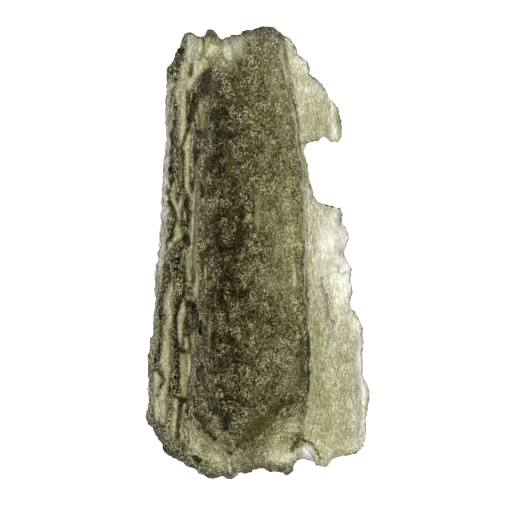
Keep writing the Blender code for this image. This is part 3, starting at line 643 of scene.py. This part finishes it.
def sculptStone(source):
    mesh = evenSkin(source)
    points = readVectors(mesh.vertices, "co") / mm
    normals = readVectors(mesh.vertices, "normal")
    print("skin points", len(points))

    upper = fade(normals[:, 2], skin["upperFade"])
    rim = rimDistance(mesh, points)
    wander = noiseOver(points, *skin["wander"])
    solid = source.data
    corners = [Vector(v.co) / mm for v in solid.vertices]
    tree = BVHTree.FromPolygons(corners, [tuple(f.vertices) for f in solid.polygons])
    ground = glassBelow(points, tree)

    leftSide = letDownRims(points, ground, rim)
    windowEdge, windowShadeSide = cutChannels(points, ground, upper, wander)
    clearer = layStreaks(points, wander)
    seamEdge, seamShade = cutDarkLines(points, upper, wander)
    bandEdge = pressBands(points, upper, wander)
    smooth = np.maximum(fade(windowEdge, cutting["smoothWindowFade"]),
                        cutting["bandSmoothness"] * fade(bandEdge, cutting["smoothBandFade"]))
    past = steepenStep(points, upper, tree)

    flange = fade(past, edges["flangeFade"])
    flank = fade(points[:, 0], edges["flankFade"])
    relief, strands = etchSkin(points, normals, upper, rim, smooth, flange, flank)

    # a pale band runs along the left edge and thins out downward
    paleEdge = leftSide * fade(rim - edges["paleWander"] * wander, edges["paleFade"])
    paleEdge *= np.interp(points[:, 1], *zip(*edges["paleEnd"]))
    flange = np.maximum(flange, paleEdge)
    crust = darkenOutline(points, rim, wander, paleEdge, flange)

    # how open to light each part of the etched skin is
    shade = edges["flankStrands"] * strands * flank * (1.0 - paleEdge)
    shade += edges["paleShade"] * paleEdge + clearer
    for x, y, reachX, reachY, amount in shades.values():
        away = ((points[:, 0] - x) / reachX) ** 2 + ((points[:, 1] - y) / reachY) ** 2
        shade += amount * np.exp(-away)
    print("shades laid", len(shades))
    thinEdges(points, ground, relief, shade, flange, upper)

    points = np.clip(points, *(np.array(cadBox) / mm))
    mesh.vertices.foreach_set("co", (points * mm).ravel())
    mesh.update()

    rim = np.minimum(rim + edges["leftRimOut"] * paleEdge, 1.0)
    marks = {"windowEdge": windowEdge, "windowShadeSide": windowShadeSide, "seamEdge": seamEdge,
             "seamShade": seamShade, "bandEdge": bandEdge, "rim": rim, "crust": crust,
             "flange": flange, "shade": shade, "upper": upper, "clearer": clearer,
             "flank": flank}
    for name, values in marks.items():
        layer = mesh.attributes.new(name, "FLOAT", "POINT")
        layer.data.foreach_set("value", values.astype(np.float32))
    for face in mesh.polygons:
        face.use_smooth = True
    stone = bpy.data.objects.new("rawMoldavite", mesh)
    bpy.context.scene.collection.objects.link(stone)
    print("stone triangles", sum(len(f.vertices) - 2 for f in mesh.polygons))
    return stone


# each tint is the share of light that the skin lets through
glass = {
    "deepEtch": (0.09, 0.083, 0.032),  # etched skin, from its darkest parts
    "midEtch": (0.52, 0.5, 0.325),
    "openEtch": (1.0, 0.98, 0.785),  # to its most open ones
    "paintedGlintTint": (1.0, 0.99, 0.9),  # painted glints: fine curled ridges painted as if they caught the light
    "paleWindow": (1.0, 1.0, 0.86),  # smooth windows, from their painted lit left side to their painted shaded right one, and from thin glass to thick
    "midWindow": (0.99, 0.965, 0.64),
    "darkWindow": (0.6, 0.57, 0.34),
    "darkBand": (0.085, 0.075, 0.02),  # smooth olive bands
    "lightBand": (0.24, 0.22, 0.095),
    "flankTint": (0.93, 0.925, 0.86),  # how the left flank tints the light besides
    "darkFlange": (0.93, 0.895, 0.69),
    "lightFlange": (1.0, 1.0, 1.0),
    "palestFlange": (0.885, 0.88, 0.905),
    # painted shade in crevices, pits, folds and cracks, and along a window's shaded side
    "paintedShadeTint": (0.03, 0.027, 0.015),
    # dark band and thin dark line along the broken outline
    "outlineDarkTint": (0.06, 0.055, 0.045),
    "darkUnder": (0.78, 0.76, 0.66),  # lower side
    "lightUnder": (1.0, 1.0, 0.95),
    "absorbColour": (0.66, 0.64, 0.5),
    "absorbDensity": 260.0,
    "transmission": 0.94,
    "ior": 1.49,
    "sheenTint": (0.2, 0.2, 0.16),  # how bright the surface's own reflections are
    "smoothRoughness": 0.28,
    "etchedRoughness": 0.34,
    "bumpStrength": 0.8,
    "bumpDistance": 0.00012,  # m
    "greenGain": 1.01,  # how much more than red each is dimmed or brightened
    "blueGain": 1.35,
    "mostEtched": (1.0, 1.0, 0.95),  # the most light that gets through
    "mostFlange": (1.0, 1.0, 1.0),
    "passes": 2.0,  # light passes the skin twice
}

# the fine patterns, and how strong each one is
patterns = {
    "lines": (0.19, 0.13, 1.35),  # thin dark lines: size, width as a share, and stretch
    "worms": (0.35, 0.13, 1.35),
    "curls": (0.26, 0.14, 1.35),
    "threads": ((0.28, 0.1, 4.5), (0.19, 0.12, 6.0)),
    "clusters": (1.1, 1.0, 1.3),  # where the curls crowd together: size, detail and stretch
    "grain": (0.2, 1.0, 1.3),
    "grit": (0.13, 0.0),
    "strands": ((0.16, 1.4, 0.16), 2.0),  # size across, along and up, and detail
    "patches": ((1.4, 2.0, 1.4), 2.0),
    "borderBreaks": ((0.5, 1.2, 0.5), 0.0),
    "rimBreaks": ((0.6, 0.6, 0.6), 2.0),
    "wormDepth": 2.1,
    "lineDepth": 2.4,
    "gritDepth": 1.5,
    "strandDepth": 1.4,
    "strandFibre": 1.2,
    "shadeFibre": 0.18,
    "threadDepth": 0.75,
    "weaveDepth": 1.35,
    "edgeDepth": 0.22,
    "raggedness": 0.5,
    "raggedWindow": 1.8,
    "raggedRim": 0.6,
    "windowWorms": 0.35,
    "windowGrit": 0.25,
    "windowStrands": 0.25,
    # how much the seams' painted shade darkens the skin, and how much of its tint is mixed in
    "seamDepth": -2.6,
    "seamShare": 0.4,
    "bandShare": 0.9,
}

# ranges: two limits and, where they aren't 0 and 1, the values at those limits
ranges = {
    "clusters": (0.46, 0.6),
    "grit": (0.4, 0.6),
    "worms": (0.0, 1.0, -0.6, 0.4),  # in steps of half or twice the light, as those below
    "gritSteps": (0.0, 1.0, -0.5, 0.5),
    "strandSteps": (0.3, 0.7, -0.5, 0.5),
    "patchShade": (0.3, 0.7, -0.58, 0.58),
    "darkToMid": (-1.5, 0.4),  # shades at which the tints change over
    "midToOpen": (0.4, 2.2),
    "depthByShade": (-1.0, 1.4, 1.15, 0.5),
    "depthOnFlank": (0.0, 1.0, 1.0, 1.9),
    "depthWhereOpen": (1.4, 3.0, 1.0, 0.85),
    "depthWhereClear": (0.0, 1.2, 1.0, 0.4),
    "crowdOnFlank": (0.0, 1.0, 1.0, 0.4),
    "crowdByShade": (-1.0, 1.4, 2.6, 0.4),
    "levelByShade": (1.4, 3.0, -1.4, -0.52),
    "curlShare": (0.1, 1.0, 0.0, 0.8),
    "relief": (-2.0, 2.0),
    "fibre": (0.4, 0.95),  # fibres of the flange
    "palest": (1.2, 2.6, 0.0, 0.9),
    "weave": (-2.0, 2.0, -0.45, 0.15),
    "weaveByShade": (0.6, 2.6, 1.0, 0.22),
    "weaveWhereDark": (-2.0, 0.4, -0.14, 0.0),
    "weavePatches": (0.3, 0.7, -0.12, 0.12),
    "edgeStrands": (0.44, 0.56),  # strands of the pale band on the left
    "fibrous": (3.0, 4.4),
    "window": (0.09, 0.01),  # edges, in mm from their own lines
    "border": (0.25, 0.11),  # painted shade: a dark line round a window, strongest on its shaded right side, broken by noise
    "borderBreaks": (0.44, 0.52),
    "borderBySide": (-1.2, 0.6, 0.45, 1.0),
    "sidePatches": (0.3, 0.7, -0.6, 0.6),
    "paleToMid": (-1.0, 0.0),  # tints across a window, from its painted lit side to its painted shaded side
    "midToDark": (0.1, 1.3),
    "windowStrands": (0.35, 0.6),
    "seam": (0.06, -0.08),
    "seamInCrowd": (0.0, 1.0, 1.0, 0.5),
    "band": (0.1, -0.1),
    "rim": (0.16, 0.06),
    "rimBreaks": (0.46, 0.56),
    "crust": (0.62, 0.45),
    "crustOnTop": (0.0, 1.0, 0.5, 1.0),
    "steep": (0.75, 0.4, 0.0, 0.8),  # steeper slopes are etched more roughly
}
oliveGlass = bpy.data.materials.new("oliveGlass")
oliveGlass.use_nodes = True
glassTree = oliveGlass.node_tree
glassPlace = glassTree.nodes.new("ShaderNodeTexCoord").outputs["Object"]


def feed(value, socket):
    if isinstance(value, float):
        socket.default_value = value
    elif isinstance(value, tuple):
        socket.default_value = value if len(socket.default_value) == 3 else (*value, 1.0)
    else:
        glassTree.links.new(value, socket)


def lay(kind, values, result=0, **settings):
    # adds a node, sets it up, feeds its inputs and gives back one of its outputs
    node = glassTree.nodes.new("ShaderNode" + kind)
    for name, setting in settings.items():
        setattr(node, name, setting)
    for name, value in values.items():
        feed(value, node.inputs[name])
    return node.outputs[result]


def mark(name):
    return lay("Attribute", {}, "Fac", attribute_name=name)


def mix(factor, a, b):
    # the colours of a Mix node are its sockets 6 and 7, and 2 on the way out
    return lay("Mix", {0: factor, 6: a, 7: b}, 2, data_type="RGBA")


def calc(operation, total, *values):
    for value in values:
        total = lay("Math", {0: total, 1: value}, operation=operation)
    return total


def add(*values):
    return calc("ADD", *values)


def times(*values):
    return calc("MULTIPLY", *values)


def vector(operation, a, b):
    second = "Scale" if operation == "SCALE" else 1
    return lay("VectorMath", {0: a, second: b}, operation=operation)


def spread(value, limits, depth=1.0):
    # limits is the name of a range, or the range itself
    low, high, *ends = ranges[limits] if isinstance(limits, str) else limits
    toLow, toHigh = ends or (0.0, 1.0)
    return lay("MapRange", {"Value": value, "From Min": low, "From Max": high,
                            "To Min": toLow * depth, "To Max": toHigh * depth})


def waves(size, detail, stretch=1.0):
    across, along, up = size if isinstance(size, tuple) else (size, stretch * size, size)
    scale = (1.0 / (across * mm), 1.0 / (along * mm), 1.0 / (up * mm))
    point = lay("Mapping", {"Vector": glassPlace, "Scale": scale})
    return lay("TexNoise", {"Vector": point, "Scale": 1.0, "Detail": detail})


def ridges(size, width, stretch):
    # thin curling lines: 0 on a line, 1 away from it
    away = calc("ABSOLUTE", calc("SUBTRACT", waves(size, 0.0, stretch), 0.5), 0.0)
    return spread(away, (0.0, width))


def dim(tint, mask, depth):
    # darken a tint where the mask falls to 0
    return vector("SCALE", tint, spread(mask, (0.0, 1.0, 1.0 - depth, 1.0)))


def brighten(tint, steps, most):
    # twice the light for each step up and half for each step down, and more so for blue
    shares = {"X": 1.0, "Y": glass["greenGain"], "Z": glass["blueGain"]}
    gains = {axis: calc("POWER", 2.0, times(steps, share)) for axis, share in shares.items()}
    return vector("MINIMUM", vector("MULTIPLY", tint, lay("CombineXYZ", gains)), most)


def layPatterns():
    curls = calc("SUBTRACT", 1.0, ridges(*patterns["curls"]))
    return {
        "lines": ridges(*patterns["lines"]),
        "worms": ridges(*patterns["worms"]),
        "crowd": times(curls, spread(waves(*patterns["clusters"]), "clusters")),
        "grain": waves(*patterns["grain"]),
        "grit": spread(waves(*patterns["grit"]), "grit"),
        "strands": waves(*patterns["strands"]),
        "patches": waves(*patterns["patches"]),
    }


def etchedRelief(laid, shade):
    # fine dark lines and grit, and crowds of bright curled ridges that are painted glints
    flank = mark("flank")
    relief = add(spread(laid["worms"], "worms", patterns["wormDepth"]),
                 spread(laid["lines"], "worms", patterns["lineDepth"]),
                 spread(laid["grit"], "gritSteps", patterns["gritDepth"]),
                 spread(laid["strands"], "strandSteps", patterns["strandDepth"]))
    relief = times(relief, spread(shade, "depthByShade"), spread(flank, "depthOnFlank"),
                   spread(shade, "depthWhereOpen"))
    crowd = times(laid["crowd"], spread(flank, "crowdOnFlank"))
    # the painted glints brighten the skin and also raise its bump
    relief = add(relief, times(crowd, spread(shade, "crowdByShade")))
    return times(relief, spread(mark("clearer"), "depthWhereClear")), crowd


def etchedTint(laid, shade, relief, crowd):
    tint = mix(spread(shade, "darkToMid"), glass["deepEtch"], glass["midEtch"])
    tint = mix(spread(shade, "midToOpen"), tint, glass["openEtch"])
    tint = brighten(tint, add(relief, spread(shade, "levelByShade")), glass["mostEtched"])
    # painted glints where the curls crowd
    glinting = spread(times(crowd, laid["grit"]), "curlShare")
    tint = mix(glinting, tint, glass["paintedGlintTint"])
    return mix(mark("flank"), tint, vector("MULTIPLY", tint, glass["flankTint"]))


def flangeTint(laid, shade, relief):
    # fibres and threads of the thin flange, and of the pale band on the left
    fibre = add(times(laid["strands"], patterns["strandFibre"]),
                times(shade, patterns["shadeFibre"]))
    tint = mix(spread(fibre, "fibre"), glass["darkFlange"], glass["lightFlange"])
    tint = mix(spread(shade, "palest"), tint, glass["palestFlange"])
    threads = times(*[ridges(*thread) for thread in patterns["threads"]])
    threads = times(calc("SUBTRACT", threads, 1.0), patterns["threadDepth"])
    weave = add(threads, spread(relief, "weave", patterns["weaveDepth"]))
    weave = add(times(weave, spread(shade, "weaveByShade")), spread(shade, "weaveWhereDark"),
                spread(laid["patches"], "weavePatches"))
    tint = brighten(tint, weave, glass["mostFlange"])
    onBody = calc("SUBTRACT", 1.0, mark("flank"))
    strands = calc("MAXIMUM", onBody, spread(laid["strands"], "edgeStrands"))
    return dim(tint, strands, patterns["edgeDepth"])


def windowTint(laid, side):
    tint = mix(spread(side, "paleToMid"), glass["paleWindow"], glass["midWindow"])
    tint = mix(spread(side, "midToDark"), tint, glass["darkWindow"])
    tint = dim(tint, laid["worms"], patterns["windowWorms"])
    tint = dim(tint, laid["grit"], patterns["windowGrit"])
    return dim(tint, spread(laid["strands"], "windowStrands"), patterns["windowStrands"])


def skinTint(laid, shade, relief, crowd, window, windowEdge, ragged):
    # every tint of the skin, laid one over the other
    upper = mark("upper")
    flange = mark("flange")
    tint = etchedTint(laid, shade, relief, crowd)
    fibrous = calc("MAXIMUM", flange, spread(shade, "fibrous"))
    tint = mix(fibrous, tint, flangeTint(laid, shade, relief))
    lighter = calc("MAXIMUM", spread(relief, "relief"), flange)
    tint = mix(upper, mix(lighter, glass["darkUnder"], glass["lightUnder"]), tint)

    band = spread(add(mark("bandEdge"), ragged), "band")
    bandTint = mix(times(laid["worms"], laid["lines"]), glass["darkBand"], glass["lightBand"])
    tint = mix(times(band, patterns["bandShare"]), tint, bandTint)

    # painted light and shade across a window, with its thickness and some noise
    side = add(mark("windowShadeSide"), spread(laid["patches"], "sidePatches"),
               spread(laid["grain"], "strandSteps"))
    # a painted shadow line round each window, strongest on its shaded right side
    breaks = spread(waves(*patterns["borderBreaks"]), "borderBreaks")
    border = times(spread(windowEdge, "border"), breaks, spread(side, "borderBySide"))
    tint = mix(border, tint, glass["paintedShadeTint"])
    tint = mix(window, tint, windowTint(laid, side))

    # painted shade in the crevices, pits, folds and cracks
    seam = times(spread(add(mark("seamEdge"), ragged), "seam"), mark("seamShade"),
                 spread(laid["crowd"], "seamInCrowd"))
    tint = brighten(tint, times(seam, patterns["seamDepth"]), glass["mostEtched"])
    tint = mix(times(seam, patterns["seamShare"]), tint, glass["paintedShadeTint"])

    # darker along the broken outline, and a thin dark line on it broken by noise
    crust = times(mark("crust"), spread(laid["grain"], "crust"), spread(upper, "crustOnTop"))
    tint = mix(crust, tint, glass["outlineDarkTint"])
    rim = spread(add(mark("rim"), times(ragged, patterns["raggedRim"])), "rim")
    breaks = spread(waves(*patterns["rimBreaks"]), "rimBreaks")
    return mix(times(rim, breaks, upper), tint, glass["outlineDarkTint"])


def mixGlass():
    shader = glassTree.nodes["Principled BSDF"]
    shader.inputs["Transmission Weight"].default_value = glass["transmission"]
    shader.inputs["Metallic"].default_value = 0.0
    shader.inputs["IOR"].default_value = glass["ior"]
    shader.inputs["Specular Tint"].default_value = (*glass["sheenTint"], 1.0)
    absorb = lay("VolumeAbsorption", {"Color": glass["absorbColour"],
                                      "Density": glass["absorbDensity"]})
    feed(absorb, glassTree.nodes["Material Output"].inputs["Volume"])

    laid = layPatterns()
    shade = add(mark("shade"), spread(laid["patches"], "patchShade"))
    relief, crowd = etchedRelief(laid, shade)
    ragged = times(calc("SUBTRACT", laid["grain"], 0.5), patterns["raggedness"])
    windowEdge = add(mark("windowEdge"), times(ragged, patterns["raggedWindow"]))
    window = spread(windowEdge, "window")
    tint = skinTint(laid, shade, relief, crowd, window, windowEdge, ragged)
    squared = lay("Gamma", {"Color": tint, "Gamma": glass["passes"]})
    feed(squared, shader.inputs["Base Color"])

    rough = spread(window, (0.0, 1.0, glass["etchedRoughness"], glass["smoothRoughness"]))
    facing = lay("SeparateXYZ", {0: lay("NewGeometry", {}, "Normal")}, "Z")
    feed(calc("MAXIMUM", rough, spread(facing, "steep")), shader.inputs["Roughness"])
    bump = lay("Bump", {"Strength": glass["bumpStrength"], "Distance": glass["bumpDistance"],
                        "Height": spread(relief, "relief")})
    feed(bump, shader.inputs["Normal"])
    print("glass mixed, nodes", len(glassTree.nodes))


# the floor, the light and the camera
studio = {
    "floorSize": 0.8,  # m
    "floorColour": (0.93, 0.93, 0.92),
    "floorRoughness": 0.8,
    "floorGlow": 1.43,
    "roomLight": 0.05,
    "horizonLight": 0.2,
    "horizonHeight": 0.2,  # how far up the bright horizon fades out, as a share
    "softboxPower": 0.12,
    "softboxSize": 0.36,  # m, as its place is
    "softboxPlace": (0.2, 0.34, 0.4),
    "frameWidth": 51.2,  # what the picture spans at the stone, mm
    "frameCentre": (-0.15, -0.3),
    "cameraHeight": 600.0,
    "focusHeight": 3.0,
    "sensorWidth": 36.0,
    "farthestSeen": 10.0,  # m
}
white = (1.0, 1.0, 1.0, 1.0)


def pourFloor():
    bpy.ops.mesh.primitive_plane_add(size=studio["floorSize"], location=(0.0, 0.0, 0.0))
    floor = bpy.context.object
    floor.name = "floor"
    material = bpy.data.materials.new("paleFloor")
    material.use_nodes = True
    shader = material.node_tree.nodes["Principled BSDF"]
    shader.inputs["Base Color"].default_value = (*studio["floorColour"], 1.0)
    shader.inputs["Roughness"].default_value = studio["floorRoughness"]
    shader.inputs["Emission Color"].default_value = white
    shader.inputs["Emission Strength"].default_value = studio["floorGlow"]
    floor.data.materials.append(material)
    print("floor poured")


def lightRoom():
    # a dim room with a brighter horizon
    world = bpy.data.worlds.new("room")
    world.use_nodes = True
    nodes = world.node_tree.nodes
    links = world.node_tree.links
    nodes["Background"].inputs["Color"].default_value = white
    place = nodes.new("ShaderNodeTexCoord")
    parts = nodes.new("ShaderNodeSeparateXYZ")
    fading = nodes.new("ShaderNodeMapRange")
    fading.inputs["From Max"].default_value = studio["horizonHeight"]
    fading.inputs["To Min"].default_value = studio["horizonLight"]
    fading.inputs["To Max"].default_value = studio["roomLight"]
    links.new(place.outputs["Generated"], parts.inputs["Vector"])
    links.new(parts.outputs["Z"], fading.inputs["Value"])
    links.new(fading.outputs["Result"], nodes["Background"].inputs["Strength"])
    bpy.context.scene.world = world
    print("room lit")


def hangSoftbox():
    light = bpy.data.lights.new("softbox", "AREA")
    light.shape = "SQUARE"
    light.size = studio["softboxSize"]
    light.energy = studio["softboxPower"]
    lamp = bpy.data.objects.new("softbox", light)
    lamp.location = studio["softboxPlace"]
    aim = Vector((0.0, 0.0, 0.0)) - lamp.location
    lamp.rotation_euler = aim.to_track_quat("-Z", "Y").to_euler()
    bpy.context.scene.collection.objects.link(lamp)
    print("softbox hung")


def setCamera():
    scene = bpy.context.scene
    camera = bpy.data.cameras.new("camera")
    camera.sensor_width = studio["sensorWidth"]
    reach = studio["cameraHeight"] - studio["focusHeight"]
    camera.lens = camera.sensor_width * reach / studio["frameWidth"]
    camera.clip_end = studio["farthestSeen"]
    holder = bpy.data.objects.new("camera", camera)
    x, y = studio["frameCentre"]
    holder.location = (x * mm, y * mm, studio["cameraHeight"] * mm)
    scene.collection.objects.link(holder)
    scene.camera = holder
    scene.view_settings.view_transform = "Standard"
    print("camera set")


stone = sculptStone(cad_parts[stoneNode])
stone.data.materials.clear()
mixGlass()
stone.data.materials.append(oliveGlass)
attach(stone, "root")
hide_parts(stoneNode)
pourFloor()
lightRoom()
hangSoftbox()
setCamera()
